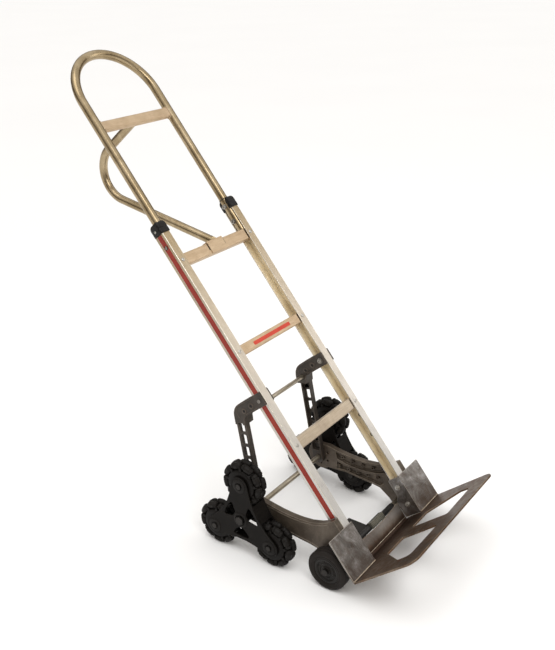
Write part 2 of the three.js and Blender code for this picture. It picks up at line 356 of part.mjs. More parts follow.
// ---------------------------------------------------------------- main axle and three-wheel stars
{
  place(level, "main_axle", rodX(MAIN_R, -240, 240, HUB_Y, HUB_Z, SEG), "rod");
  pair(level, "main_axle_nut", cut(rodX(13, 234.6, 240.6, HUB_Y, HUB_Z, 6), rodX(MAIN_R + GAP, 230, 240.2, HUB_Y, HUB_Z, SEG)), "zinc");
  const out = [], rLobe = 27, D = 265.3, rho = 204.3;
  const lobes = [90, 210, 330];
  for (const a of lobes) {
    const t = THREE.MathUtils.degToRad(a), cx = STAR_R * Math.cos(t), cy = STAR_R * Math.sin(t);
    const m = THREE.MathUtils.degToRad(a + 60), mx = D * Math.cos(m), my = D * Math.sin(m);
    const m0 = THREE.MathUtils.degToRad(a - 60), m0x = D * Math.cos(m0), m0y = D * Math.sin(m0);
    const aS = Math.atan2(m0y - cy, m0x - cx), aE = Math.atan2(my - cy, mx - cx); // tangent directions from the lobe centre
    let d = aE - aS; while (d < 0) d += 2 * Math.PI;
    for (let i = 0; i <= 7; i++) { const q = aS + (d * i) / 7; out.push([cx + rLobe * Math.cos(q), cy + rLobe * Math.sin(q)]); }
    const t2 = THREE.MathUtils.degToRad(a + 120), c2x = STAR_R * Math.cos(t2), c2y = STAR_R * Math.sin(t2);
    const b0 = Math.atan2(cy - my, cx - mx), b1 = Math.atan2(c2y - my, c2x - mx);
    let e = b1 - b0; while (e > Math.PI) e -= 2 * Math.PI; while (e < -Math.PI) e += 2 * Math.PI;
    for (let i = 1; i < 5; i++) { const q = b0 + (e * i) / 5; out.push([mx + rho * Math.cos(q), my + rho * Math.sin(q)]); }
  }
  const shift = (pts) => pts.map(([a, b]) => [a + HUB_Y, b + HUB_Z]);
  const plate = (x0, x1) => {
    let p = solid(plateX(shift(out), x0, x1));
    for (const a of [30, 150, 270]) {
      const t = THREE.MathUtils.degToRad(a), f = ([u, v, r]) => [u * Math.cos(t) - v * Math.sin(t) + HUB_Y, u * Math.sin(t) + v * Math.cos(t) + HUB_Z, r];
      p = cut(p, plateX(rounded([[25, -9, 4], [51, -31, 5], [53, 0, 30], [51, 31, 5], [25, 9, 4]].map(f), 45), x0 - 1, x1 + 1));
    }
    for (const a of lobes) { const t = THREE.MathUtils.degToRad(a); p = cut(p, rodX(PIN_R + GAP, x0 - 1, x1 + 1, HUB_Y + STAR_R * Math.cos(t), HUB_Z + STAR_R * Math.sin(t), 16)); }
    return p;
  };
  let star = plate(180.8, 184.8).add(plate(229.8, 233.8)).add(solid(rodX(16, 180.8, 233.8, HUB_Y, HUB_Z, 20)));
  star = cut(star, rodX(7.57, 170, 240, HUB_Y, HUB_Z, SEG));
  pair(level, "star_frame", star, "black");

  // roller wheel: two races of nine barrel rollers round a hub, drawn as lobed rims
  const race = (x0, x1, phase) => {
    const p = [];
    for (let i = 0; i < 9; i++) for (const [a, r] of [[-18.5, 54], [-13, 60.2], [0, 62.5], [13, 60.2], [18.5, 54]]) {
      const t = THREE.MathUtils.degToRad(40 * i + a + phase); p.push([r * Math.cos(t), r * Math.sin(t)]);
    }
    return solid(plateX(p, x0, x1));
  };
  const wheel = race(207.6, 226.6, -90).add(race(188, 207, -70)).add(solid(rodX(48, 187, 227.6, 0, 0, 24))).add(solid(rodX(14, 185.4, 229.2, 0, 0, 16)));
  const ready = cut(wheel, rodX(PIN_R + 0.06, 180, 235, 0, 0, SEG));
  const names = { 90: "top", 210: "front", 330: "rear" };
  for (const a of lobes) {
    const t = THREE.MathUtils.degToRad(a), y = HUB_Y + STAR_R * Math.cos(t), z = HUB_Z + STAR_R * Math.sin(t);
    pair(level, "star_wheel_" + names[a], solid(geometry(ready).translate(0, y, z)), "roller");
    const pin = add(rodX(PIN_R, 178, 236.8, y, z, SEG), rodX(8.2, 234.1, 238.2, y, z, 6), rodX(8.2, 176.2, 180.5, y, z, 6));
    pair(level, "star_pin_" + names[a], pin, "zinc");
  }
}

// ---------------------------------------------------------------- origin: floor level, centred on the object's footprint
trolley.updateMatrixWorld(true);
const bounds = new THREE.Box3();
trolley.traverse((o) => {
  if (!o.isMesh) return;
  const p = o.geometry.attributes.position, v = new THREE.Vector3();
  for (let i = 0; i < p.count; i++) bounds.expandByPoint(v.fromBufferAttribute(p, i).applyMatrix4(o.matrixWorld));
});
level.position.y = -(bounds.min.y + bounds.max.y) / 2;

export default trolley;
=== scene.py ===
# Looks of the stair climbing trolley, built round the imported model. Metres, +Z up, -Y towards the toe plate.
import bpy, bmesh, math
from mathutils import Matrix, Vector


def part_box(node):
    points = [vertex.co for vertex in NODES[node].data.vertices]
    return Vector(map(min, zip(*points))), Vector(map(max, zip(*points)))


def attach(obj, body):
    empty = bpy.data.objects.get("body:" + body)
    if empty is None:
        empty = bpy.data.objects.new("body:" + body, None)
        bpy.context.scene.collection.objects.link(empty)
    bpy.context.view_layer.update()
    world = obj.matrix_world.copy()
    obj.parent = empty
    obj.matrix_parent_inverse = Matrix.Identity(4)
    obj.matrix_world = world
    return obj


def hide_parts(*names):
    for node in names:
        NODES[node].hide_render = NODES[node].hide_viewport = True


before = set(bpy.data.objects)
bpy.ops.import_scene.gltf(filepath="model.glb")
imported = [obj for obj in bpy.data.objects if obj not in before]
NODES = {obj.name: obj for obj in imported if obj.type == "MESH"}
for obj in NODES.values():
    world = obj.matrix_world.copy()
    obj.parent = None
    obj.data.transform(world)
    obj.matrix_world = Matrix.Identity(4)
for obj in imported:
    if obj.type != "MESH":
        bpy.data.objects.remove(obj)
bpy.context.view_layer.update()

# ---------------------------------------------------------------- reference frames
TH = math.radians(38.5)
S, C = math.sin(TH), math.cos(TH)


def mid(node):
    a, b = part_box(node)
    return (a + b) / 2


HUB = mid("main_axle")
DY = HUB.y * 1000 - 66.7
VH, WH, XH = Vector((0, S, C)), Vector((0, -C, S)), Vector((1, 0, 0))


def L(x, y, z):
    """level millimetres before centring, to metres in the row frame"""
    return Vector((x, y + DY, z)) / 1000


def T(x, v, w):
    """millimetres along the leaning frame (x across, v along the rails, w forward), to metres in the row frame"""
    return L(x, -279.9 + v * S - w * C, 67.5 + v * C + w * S)


# ---------------------------------------------------------------- node materials
class Mat:
    def __init__(self, name):
        self.m = bpy.data.materials.new(name)
        self.m.use_nodes = True
        self.t = self.m.node_tree
        self.t.nodes.clear()
        self.out = self.t.nodes.new("ShaderNodeOutputMaterial")
        self.b = self.t.nodes.new("ShaderNodeBsdfPrincipled")
        self.t.links.new(self.b.outputs[0], self.out.inputs[0])
        co = self.t.nodes.new("ShaderNodeTexCoord")
        self.co = co.outputs["Object"]
        rot = self.t.nodes.new("ShaderNodeMapping")
        rot.inputs["Rotation"].default_value = (TH, 0, 0)
        self.link(self.co, rot.inputs["Vector"])
        self.tr = rot.outputs[0]  # coordinates that follow the leaning frame

    def link(self, a, b):
        self.t.links.new(a, b)

    def scaled(self, vec, s):
        n = self.t.nodes.new("ShaderNodeMapping")
        n.inputs["Scale"].default_value = s
        self.link(vec, n.inputs["Vector"])
        return n.outputs[0]

    def noise(self, vec, scale, detail=4, rough=0.6, distort=0.0):
        n = self.t.nodes.new("ShaderNodeTexNoise")
        n.inputs["Scale"].default_value = scale
        n.inputs["Detail"].default_value = detail
        n.inputs["Roughness"].default_value = rough
        n.inputs["Distortion"].default_value = distort
        self.link(vec, n.inputs["Vector"])
        return n.outputs["Fac"]

    def ramp(self, fac, stops):
        n = self.t.nodes.new("ShaderNodeValToRGB")
        e = n.color_ramp.elements
        while len(e) < len(stops):
            e.new(0.5)
        for k, (p, c) in zip(e, stops):
            k.position = p
            k.color = (*c, 1) if len(c) == 3 else c
        self.link(fac, n.inputs[0])
        return n.outputs["Color"]

    def mix(self, fac, a, b, kind="MIX"):
        n = self.t.nodes.new("ShaderNodeMix")
        n.data_type = "RGBA"
        n.blend_type = kind
        for sock, val in ((n.inputs[0], fac), (n.inputs[6], a), (n.inputs[7], b)):
            if isinstance(val, (int, float)):
                sock.default_value = val
            elif isinstance(val, tuple):
                sock.default_value = (*val, 1)
            else:
                self.link(val, sock)
        return n.outputs[2]

    def span(self, val, a, b, c, d):
        n = self.t.nodes.new("ShaderNodeMapRange")
        for k, x in zip(("From Min", "From Max", "To Min", "To Max"), (a, b, c, d)):
            n.inputs[k].default_value = x
        self.link(val, n.inputs["Value"])
        return n.outputs["Result"]

    def axis(self, vec, which):
        n = self.t.nodes.new("ShaderNodeSeparateXYZ")
        self.link(vec, n.inputs[0])
        return n.outputs[which]

    def math(self, op, a, b=None):
        n = self.t.nodes.new("ShaderNodeMath")
        n.operation = op
        for k, v in enumerate((a, b)):
            if v is None:
                continue
            if isinstance(v, (int, float)):
                n.inputs[k].default_value = v
            else:
                self.link(v, n.inputs[k])
        return n.outputs[0]

    def bump(self, *heights):
        """heights are (value, strength, distance)"""
        last = None
        for h, strength, dist in heights:
            n = self.t.nodes.new("ShaderNodeBump")
            n.inputs["Strength"].default_value = strength
            n.inputs["Distance"].default_value = dist
            self.link(h, n.inputs["Height"])
            if last is not None:
                self.link(last, n.inputs["Normal"])
            last = n.outputs[0]
        self.link(last, self.b.inputs["Normal"])

    def done(self, color, rough, metallic=0.0, spec=0.5):
        self.link(color, self.b.inputs["Base Color"])
        self.link(rough, self.b.inputs["Roughness"])
        self.b.inputs["Metallic"].default_value = metallic
        self.b.inputs["Specular IOR Level"].default_value = spec
        return self.m


def drawn_metal(name, dark, mid_c, light, rough=(0.25, 0.42), metallic=0.9, grain=(1, 1, 0.02), lean=True, ends=None, spots=0.25):
    """brushed or drawn metal: fine lines along one direction, cloudy tarnish and small dents and dirt"""
    q = Mat(name)
    vec = q.tr if lean else q.co
    lines = q.noise(q.scaled(vec, tuple(1400 * g for g in grain)), 1.0, 3, 0.7)
    cloud = q.noise(vec, 14, 5, 0.6, 0.4)
    fine = q.noise(vec, 160, 4, 0.7)
    base = q.ramp(cloud, [(0.3, dark), (0.5, mid_c), (0.72, light)])
    if ends:  # the colour drifts along the piece from the low end to the high end
        z0, z1, low = ends
        base = q.mix(q.span(q.axis(q.co, 2), z0, z1, 0.85, 0.0), base, low)
    base = q.mix(q.span(lines, 0.35, 0.65, 0.0, 0.35), base, tuple(0.72 * k for k in mid_c), "MULTIPLY")
    dirt = q.span(fine, 0.60, 0.72, 0.0, spots)
    base = q.mix(dirt, base, tuple(0.45 * k for k in dark))
    rg = q.math("ADD", q.span(cloud, 0.3, 0.7, rough[0], rough[1]), q.span(lines, 0.3, 0.7, -0.05, 0.09))
    q.bump((lines, 0.10, 0.00025), (cloud, 0.05, 0.001))
    return q.done(base, rg, metallic)


def cast_paint(name, dark, mid_c, light, rough=(0.42, 0.62), metallic=0.25, grit=0.35):
    q = Mat(name)
    cloud = q.noise(q.co, 18, 5, 0.62, 0.5)
    sand = q.noise(q.co, 620, 3, 0.7)
    blot = q.noise(q.co, 70, 4, 0.65, 0.3)
    base = q.ramp(cloud, [(0.3, dark), (0.52, mid_c), (0.75, light)])
    base = q.mix(q.span(blot, 0.58, 0.72, 0.0, 0.45), base, tuple(1.35 * k for k in light))
    base = q.mix(q.span(sand, 0.55, 0.75, 0.0, 0.30), base, dark)
    q.bump((sand, grit, 0.0004), (blot, 0.12, 0.0008))
    return q.done(base, q.span(blot, 0.3, 0.7, *rough), metallic)


def moulded(name, dark, light, rough=(0.4, 0.6), scuff=None, tex=800, bump=0.18, spec=0.22):
    q = Mat(name)
    cloud = q.noise(q.co, 26, 5, 0.6, 0.4)
    grainy = q.noise(q.co, tex, 2, 0.6)
    rub = q.noise(q.scaled(q.co, (1, 1, 3)), 110, 5, 0.75, 0.8)
    base = q.ramp(cloud, [(0.3, dark), (0.7, light)])
    base = q.mix(q.span(rub, 0.60, 0.75, 0.0, 0.55), base, scuff or tuple(2.2 * k for k in light))
    q.bump((grainy, bump, 0.0003), (cloud, 0.05, 0.001))
    return q.done(base, q.span(rub, 0.35, 0.7, *rough), 0.0, spec)


def raw_steel(name, dark, mid_c, light, rust, rough=(0.3, 0.5), amount=0.55, painted_shade_and_reflection=False, low_stain=False):
    """uncoated steel plate: mill scale clouds, brown stain, long scratches"""
    q = Mat(name)
    cloud = q.noise(q.co, 17 if low_stain else 10, 6, 0.70, 0.9)
    scale_ = q.noise(q.co, 55, 5, 0.7, 0.5)
    scr = q.noise(q.scaled(q.tr, (900, 60, 18)), 1.0, 2, 0.6)
    scr2 = q.noise(q.scaled(q.tr, (22, 60, 900)), 1.0, 2, 0.6)
    base = q.ramp(cloud, [(0.28, dark), (0.5, mid_c), (0.74, light)])
    base = q.mix(q.span(scale_, 0.45, 0.66, 0.0, amount), base, rust)
    base = q.mix(q.span(scr, 0.66, 0.74, 0.0, 0.5), base, tuple(min(1, 1.5 * k) for k in light))
    base = q.mix(q.span(scr2, 0.68, 0.76, 0.0, 0.4), base, tuple(min(1, 1.4 * k) for k in light))
    if painted_shade_and_reflection:  # painted shade: deep brown shade and dark reflection painted on the floor strip and in the bend
        ahead = q.math("ADD", q.span(q.axis(q.tr, 1), YC - 0.030, YC + 0.006, 0.0, 1.0), q.span(cloud, 0.3, 0.7, -0.12, 0.12))
        low = q.span(q.axis(q.tr, 2), ZC + 0.006, ZC + 0.018, 1.0, 0.0)
        base = q.mix(q.math("MULTIPLY", q.math("MULTIPLY", ahead, low), 0.80), base, (0.030, 0.014, 0.009))
        # painted reflection: a lighter grey painted up the plate above the bend
        up = q.math("MULTIPLY", q.span(q.axis(q.tr, 2), ZC + 0.012, ZC + 0.030, 0.0, 1.0), q.span(cloud, 0.25, 0.6, 0.35, 1.0))
        base = q.mix(q.math("MULTIPLY", up, 0.75), base, (0.34, 0.32, 0.30))
    if low_stain:  # brown stain towards the foot of the bracket
        low = q.math("ADD", q.span(q.axis(q.tr, 2), ZC - 0.004, ZC + 0.060, 0.75, 0.0), q.span(cloud, 0.3, 0.7, 0.10, -0.14))
        base = q.mix(low, base, (0.085, 0.055, 0.036))
    rg = q.math("ADD", q.span(scale_, 0.3, 0.7, rough[0], rough[1]), q.span(cloud, 0.3, 0.7, -0.04, 0.06))
    q.bump((scale_, 0.14, 0.0006), (scr, 0.10, 0.0002), (scr2, 0.10, 0.0002))
    return q.done(base, rg, 0.82)


# where the frame's own zero sits in the turned coordinates: behind it (second axis) and along it (third axis)
_z = T(0, 0, 0)
YC, ZC = _z.y * C - _z.z * S, _z.y * S + _z.z * C

M = {}
# the *_edge finishes are lighter copies for bevels and raised lines: worn edges plus a painted highlight
M["tube"] = drawn_metal("drawn_tube", (0.29, 0.22, 0.125), (0.41, 0.32, 0.195), (0.56, 0.455, 0.30), (0.20, 0.30), 0.97, spots=0.08)
M["bar"] = drawn_metal("satin_bar", (0.48, 0.35, 0.215), (0.60, 0.455, 0.30), (0.72, 0.57, 0.39), (0.38, 0.55), 0.55, grain=(0.02, 1, 1), spots=0.12)
M["bar_low"] = drawn_metal("satin_bar_low", (0.44, 0.36, 0.27), (0.55, 0.46, 0.35), (0.65, 0.56, 0.44), (0.38, 0.55), 0.55, grain=(0.02, 1, 1), spots=0.12)
M["rail"] = drawn_metal("rail_extrusion", (0.34, 0.260, 0.155), (0.43, 0.335, 0.205), (0.54, 0.435, 0.285), (0.28, 0.42), 0.65, ends=(0.17, 0.84, (0.80, 0.81, 0.82)), spots=0.08)
# painted light: a brighter, more diffuse copy of the rail finish for the faces inside the channel, which lie in shade
M["channel"] = drawn_metal("rail_channel_painted_light", (0.78, 0.67, 0.46), (0.90, 0.80, 0.60), (0.96, 0.88, 0.70), (0.34, 0.48), 0.20, spots=0.16)
M["rail_edge"] = drawn_metal("rail_edge", (0.70, 0.65, 0.56), (0.82, 0.77, 0.68), (0.9, 0.86, 0.78), (0.22, 0.34), 0.85, spots=0.05)
M["strip"] = moulded("red_strip", (0.25, 0.026, 0.017), (0.34, 0.040, 0.025), (0.36, 0.52), scuff=(0.42, 0.10, 0.070))
M["black"] = moulded("black_cap", (0.006, 0.005, 0.005), (0.012, 0.0105, 0.010), (0.34, 0.5))
M["black_edge"] = moulded("black_edge", (0.012, 0.011, 0.010), (0.022, 0.020, 0.019), (0.35, 0.5))
M["star"] = moulded("star_moulding", (0.0045, 0.0036, 0.0028), (0.0085, 0.0068, 0.0054), (0.46, 0.62), spec=0.10)
M["star_edge"] = moulded("star_edge", (0.0058, 0.0047, 0.0038), (0.0115, 0.0094, 0.0076), (0.44, 0.6), spec=0.14)
M["roller"] = moulded("roller_rubber", (0.0052, 0.0042, 0.0034), (0.0110, 0.0090, 0.0074), (0.48, 0.66), scuff=(0.026, 0.021, 0.017), bump=0.3, spec=0.18)
M["core"] = moulded("wheel_core", (0.0042, 0.0034, 0.0028), (0.0085, 0.0068, 0.0056), (0.42, 0.58), spec=0.12)
M["tyre"] = moulded("tyre_rubber", (0.0130, 0.0105, 0.0090), (0.0230, 0.0190, 0.0165), (0.52, 0.7), scuff=(0.045, 0.037, 0.031), bump=0.35, spec=0.13)
M["hub"] = moulded("hub_plastic", (0.0085, 0.0070, 0.0058), (0.0165, 0.0136, 0.0112), (0.36, 0.52))
M["casting"] = cast_paint("dark_casting", (0.023, 0.0175, 0.013), (0.041, 0.0315, 0.024), (0.072, 0.057, 0.044))
M["casting_edge"] = cast_paint("casting_edge", (0.055, 0.043, 0.033), (0.090, 0.070, 0.054), (0.13, 0.104, 0.080), (0.35, 0.5), 0.5, 0.15)
M["arm"] = cast_paint("arm_casting", (0.058, 0.044, 0.032), (0.095, 0.074, 0.055), (0.145, 0.116, 0.088), (0.36, 0.55), 0.45)
M["arm_edge"] = cast_paint("arm_edge", (0.12, 0.096, 0.072), (0.18, 0.148, 0.114), (0.24, 0.20, 0.16), (0.32, 0.45), 0.6, 0.12)
M["nose"] = raw_steel("nose_plate", (0.050, 0.031, 0.021), (0.110, 0.076, 0.053), (0.235, 0.185, 0.142), (0.115, 0.050, 0.021), (0.34, 0.52), 0.70, painted_shade_and_reflection=True)
M["nose_edge"] = raw_steel("nose_edge", (0.15, 0.105, 0.070), (0.24, 0.175, 0.12), (0.36, 0.28, 0.20), (0.17, 0.085, 0.035), (0.3, 0.45), 0.5)
M["ear"] = raw_steel("bracket_plate", (0.095, 0.086, 0.078), (0.25, 0.235, 0.222), (0.56, 0.545, 0.54), (0.105, 0.064, 0.040), (0.30, 0.46), 0.45, low_stain=True)
M["ear_edge"] = raw_steel("bracket_edge", (0.34, 0.31, 0.27), (0.48, 0.44, 0.39), (0.62, 0.58, 0.52), (0.26, 0.16, 0.09), (0.25, 0.4), 0.3)
M["zinc"] = drawn_metal("zinc_plate", (0.40, 0.38, 0.34), (0.58, 0.56, 0.52), (0.72, 0.70, 0.66), (0.22, 0.36), 0.95, lean=False, grain=(1, 1, 1), spots=0.3)
M["zinc_dark"] = drawn_metal("zinc_dark", (0.20, 0.185, 0.165), (0.34, 0.32, 0.29), (0.48, 0.46, 0.42), (0.28, 0.42), 0.92, lean=False, grain=(1, 1, 1), spots=0.3)
M["black_steel"] = drawn_metal("blackened_steel", (0.020, 0.018, 0.016), (0.038, 0.034, 0.031), (0.065, 0.058, 0.052), (0.30, 0.48), 0.8, lean=False, grain=(1, 1, 1), spots=0.3)
M["rod"] = drawn_metal("drawn_rod", (0.24, 0.20, 0.15), (0.42, 0.37, 0.29), (0.56, 0.50, 0.41), (0.25, 0.4), 0.85, grain=(0.02, 1, 1), lean=False)
M["pedal"] = cast_paint("pedal_black", (0.010, 0.009, 0.008), (0.020, 0.018, 0.016), (0.034, 0.031, 0.028), (0.4, 0.6), 0.3, 0.2)
M["pedal_edge"] = cast_paint("pedal_edge", (0.05, 0.046, 0.04), (0.09, 0.082, 0.07), (0.15, 0.137, 0.12), (0.35, 0.5), 0.6, 0.1)
M["tread"] = drawn_metal("pedal_tread", (0.20, 0.19, 0.15), (0.32, 0.31, 0.25), (0.48, 0.46, 0.38), (0.3, 0.5), 0.7, grain=(0.02, 1, 1))
M["weld"] = raw_steel("weld_bead", (0.20, 0.16, 0.12), (0.36, 0.30, 0.23), (0.55, 0.48, 0.38), (0.18, 0.10, 0.05), (0.25, 0.42), 0.4)
M["tube_weld"] = drawn_metal("aluminium_weld", (0.42, 0.33, 0.22), (0.62, 0.50, 0.35), (0.78, 0.66, 0.50), (0.25, 0.4), 0.95, grain=(1, 1, 1))
M["label"] = moulded("plain_label", (0.52, 0.050, 0.030), (0.62, 0.075, 0.045), (0.4, 0.55), scuff=(0.70, 0.22, 0.15))

# ---------------------------------------------------------------- mesh helpers
def finish_bm(bm, name, mats, body, replaces=(), angle=38):
    bmesh.ops.recalc_face_normals(bm, faces=bm.faces)
    for f in bm.faces:
        f.smooth = True
    for e in bm.edges:
        if len(e.link_faces) == 2 and e.calc_face_angle(0) > math.radians(angle):
            e.smooth = False
    me = bpy.data.meshes.new(name)
    bm.to_mesh(me)
    bm.free()
    o = bpy.data.objects.new(name, me)
    bpy.context.scene.collection.objects.link(o)
    for m in mats if isinstance(mats, (list, tuple)) else [mats]:
        me.materials.append(M[m])
    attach(o, body)
    if replaces:
        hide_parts(*replaces)
    return o


def bevel_mod(o, width, segs=2, angle=38, edge=None):
    b = o.modifiers.new("edge", "BEVEL")
    b.width, b.segments, b.limit_method, b.angle_limit = width, segs, "ANGLE", math.radians(angle)
    b.use_clamp_overlap = False
    b.miter_outer = "MITER_ARC" if False else "MITER_SHARP"
    # the edge finish is a lighter copy of the piece's finish on the bevels: worn edges plus a painted highlight
    if edge:
        o.data.materials.append(M[edge])
        b.material = len(o.data.materials) - 1
    return o


def turned(bm, prof, seg, centre, mat_at=None, phase=0.0):
    """closed profile of (x mm from the centre, radius mm), turned about X at centre (metres)"""
    rings = []
    for k in range(seg):
        a = 2 * math.pi * k / seg + phase
        rings.append([bm.verts.new(centre + Vector((x, r * math.cos(a), r * math.sin(a))) / 1000) for x, r in prof])
    n = len(prof)
    for k in range(seg):
        for i in range(n):
            f = bm.faces.new((rings[k][i], rings[k][(i + 1) % n], rings[(k + 1) % seg][(i + 1) % n], rings[(k + 1) % seg][i]))
            if mat_at:
                f.material_index = mat_at(i)


def swept(bm, pts, radius, side, seg=32, inner=None, ripple=0.0, pitch=2.2, flat=1.0, closed=False, mat_index=0):
    """round tube along pts (metres) lying in the plane whose normal is side; radius in mm, ripple is a share of it"""
    n = len(pts)
    outs, ins, run = [], [], 0.0
    for i, p in enumerate(pts):
        a = pts[(i - 1) % n] if closed else pts[max(0, i - 1)]
        b = pts[(i + 1) % n] if closed else pts[min(n - 1, i + 1)]
        t = (b - a).normalized()
        sd = (side - t * side.dot(t)).normalized()
        up = sd.cross(t)
        if i:
            run += (p - pts[i - 1]).length * 1000
        rr = radius * (1 + ripple * math.sin(2 * math.pi * run / pitch))
        outs.append([bm.verts.new(p + (sd * math.cos(q) * flat + up * math.sin(q)) * rr / 1000) for q in (2 * math.pi * k / seg for k in range(seg))])
        if inner:
            ins.append([bm.verts.new(p + (sd * math.cos(q) + up * math.sin(q)) * inner / 1000) for q in (2 * math.pi * k / seg for k in range(seg))])
    last = n if closed else n - 1
    for rings in (outs, ins) if inner else (outs,):
        for i in range(last):
            for k in range(seg):
                f = bm.faces.new((rings[i][k], rings[i][(k + 1) % seg], rings[(i + 1) % n][(k + 1) % seg], rings[(i + 1) % n][k]))
                f.material_index = mat_index
    if closed:
        return
    for e in (0, n - 1):
        if inner:
            for k in range(seg):
                bm.faces.new((outs[e][k], outs[e][(k + 1) % seg], ins[e][(k + 1) % seg], ins[e][k]))
        else:
            f = bm.faces.new(outs[e])
            f.material_index = mat_index


def block(bm, corners8, mat_index=0):
    """a six-sided block from its 8 corners: four of one end in order, then four of the other"""
    v = [bm.verts.new(c) for c in corners8]
    for q in ((0, 1, 2, 3), (4, 5, 6, 7), (0, 1, 5, 4), (1, 2, 6, 5), (2, 3, 7, 6), (3, 0, 4, 7)):
        bm.faces.new([v[k] for k in q]).material_index = mat_index


def pill(bm, c, axis, up, r, h, seg=24, recess=0.45, depth=0.5, sides=6):
    """button-head screw standing on point c along axis, with a socket recess"""
    axis = axis.normalized()
    u = (up - axis * up.dot(axis)).normalized()
    s = axis.cross(u)
    prof = [(r, 0.0), (r, h * 0.30), (r * 0.93, h * 0.62), (r * 0.78, h * 0.88), (r * 0.60, h)]
    rings = []
    for rr, hh in prof:
        rings.append([bm.verts.new(c + (u * math.cos(q) + s * math.sin(q)) * rr / 1000 + axis * hh / 1000) for q in (2 * math.pi * k / seg for k in range(seg))])
    for a, b in zip(rings, rings[1:]):
        for k in range(seg):
            bm.faces.new((a[k], a[(k + 1) % seg], b[(k + 1) % seg], b[k]))
    bm.faces.new(rings[0])
    ri = r * recess
    sock = [[], []]
    for k in range(seg):
        q = 2 * math.pi * k / seg
        m = math.pi / sides
        rr = ri * math.cos(m) / math.cos((q % (2 * m)) - m)
        for j, hh in enumerate((h, h * (1 - depth))):
            sock[j].append(bm.verts.new(c + (u * math.cos(q) + s * math.sin(q)) * rr / 1000 + axis * hh / 1000))
    for a, b in ((rings[-1], sock[0]), (sock[0], sock[1])):
        for k in range(seg):
            bm.faces.new((a[k], a[(k + 1) % seg], b[(k + 1) % seg], b[k]))
    bm.faces.new(sock[1])


SIDES = (("left", -1), ("right", 1))

# ---------------------------------------------------------------- loop handle and D grip
TUBE_X, TUBE_W, V_END, V_BEND = 137, -17.45, 932.2, 1403
pts = [T(TUBE_X, v, TUBE_W) for v in (V_END, 1050, 1170, 1290, 1390)]
pts += [T(TUBE_X * math.cos(a), V_BEND + TUBE_X * math.sin(a), TUBE_W) for a in (math.pi * k / 60 for k in range(61))]
pts += [T(-TUBE_X, v, TUBE_W) for v in (1390, 1290, 1170, 1050, V_END)]
bm = bmesh.new()
swept(bm, pts, 12.7, WH, 40, 10.7)
finish_bm(bm, "loop_tube", "tube", "frame", ["loop_handle"])

GV, GB, SV, SW, DV, DW = 1330, 81.6, 948, -22, -0.768, 0.6404
turn = math.acos(-DW)
kw = SW - ((GV - SV) / -DV) * DW
cw = kw + GB * math.tan(turn / 2)
pts = [T(0, GV, w) for w in (-26.8, -60, -100, -140) if w > cw + 4]
pts += [T(0, GV - GB + GB * math.cos(a), cw - GB * math.sin(a)) for a in (turn * k / 40 for k in range(41))]
k1 = (925 - SV) / DV
endp = T(0, 925, SW + k1 * DW)
pts += [pts[-1].lerp(endp, q) for q in (0.25, 0.5, 0.75, 1.0)]
bm = bmesh.new()
swept(bm, pts, 12, XH, 40)
for co, no in ((T(0, 936, 0), VH), (T(0, 0, -1.3), -WH)):
    r = bmesh.ops.bisect_plane(bm, geom=bm.verts[:] + bm.edges[:] + bm.faces[:], plane_co=co, plane_no=no, clear_inner=True, dist=1e-7)
    edges = [e for e in bm.edges if len(e.link_faces) == 1]
    if edges:
        bmesh.ops.holes_fill(bm, edges=edges, sides=0)
finish_bm(bm, "d_grip_tube", "tube", "frame", ["d_grip_handle"])

# weld beads: handle crossbar to the loop legs, grip to crossbar and saddle
bm = bmesh.new()
for s in (-1, 1):
    ring = []
    for k in range(56):
        a = 2 * math.pi * k / 56
        cv, cwv, hv, hw = 1327.5, -17.5, 16.2, 9.2
        e = 4.0
        ca, sa = math.cos(a), math.sin(a)
        q = (abs(ca) ** e + abs(sa) ** e) ** (-1 / e)
        v, w = cv + hv * q * sa, cwv + hw * q * ca
        x = TUBE_X - math.sqrt(max(0, 12.7 ** 2 - (w - TUBE_W) ** 2))
        ring.append(T(s * (x - 0.6), v, w))
    swept(bm, ring, 1.7, XH, 8, ripple=0.22, pitch=3.4, closed=True)
ring = [T(12.3 * math.cos(a), 1330 + 12.3 * math.sin(a), -27.2) for a in (2 * math.pi * k / 48 for k in range(48))]
swept(bm, ring, 1.6, WH, 8, ripple=0.22, pitch=3.2, closed=True)
finish_bm(bm, "handle_welds", "tube_weld", "frame")

bm = bmesh.new()
ring = []
for k in range(44):
    a = 2 * math.pi * k / 44
    w = -17.2 + 15.2 * math.sin(a)
    ring.append(T(12.3 * math.cos(a), 936.4, min(-3.6, w)))
swept(bm, ring, 1.4, VH, 8, ripple=0.2, pitch=3.2, closed=True)
finish_bm(bm, "grip_weld", "tube_weld", "frame")

# ---------------------------------------------------------------- crossbar screws in the front flange of each rail
for s, sx in SIDES:
    bm = bmesh.new()
    for v in (915, 635, 352.7):
        pill(bm, T(sx * 142.7, v, 0.05), WH, VH, 5.2, 2.0, 28, 0.5, 0.6)
    finish_bm(bm, "crossbar_screws_" + s, "zinc", "frame")
    bm = bmesh.new()  # painted shade: black rings on the inner face of the rail web stand in for the drain and fixing holes
    for v in (311, 246):
        turned(bm, [(-0.9, 3.4), (-0.9, 5.2), (0.3, 5.4), (0.3, 3.4)] if sx > 0 else [(0.9, 3.4), (0.9, 5.2), (-0.3, 5.4), (-0.3, 3.4)], 24, T(sx * 151.4, v, -20))
    finish_bm(bm, "rail_eyelets_" + s, "black_steel", "frame")

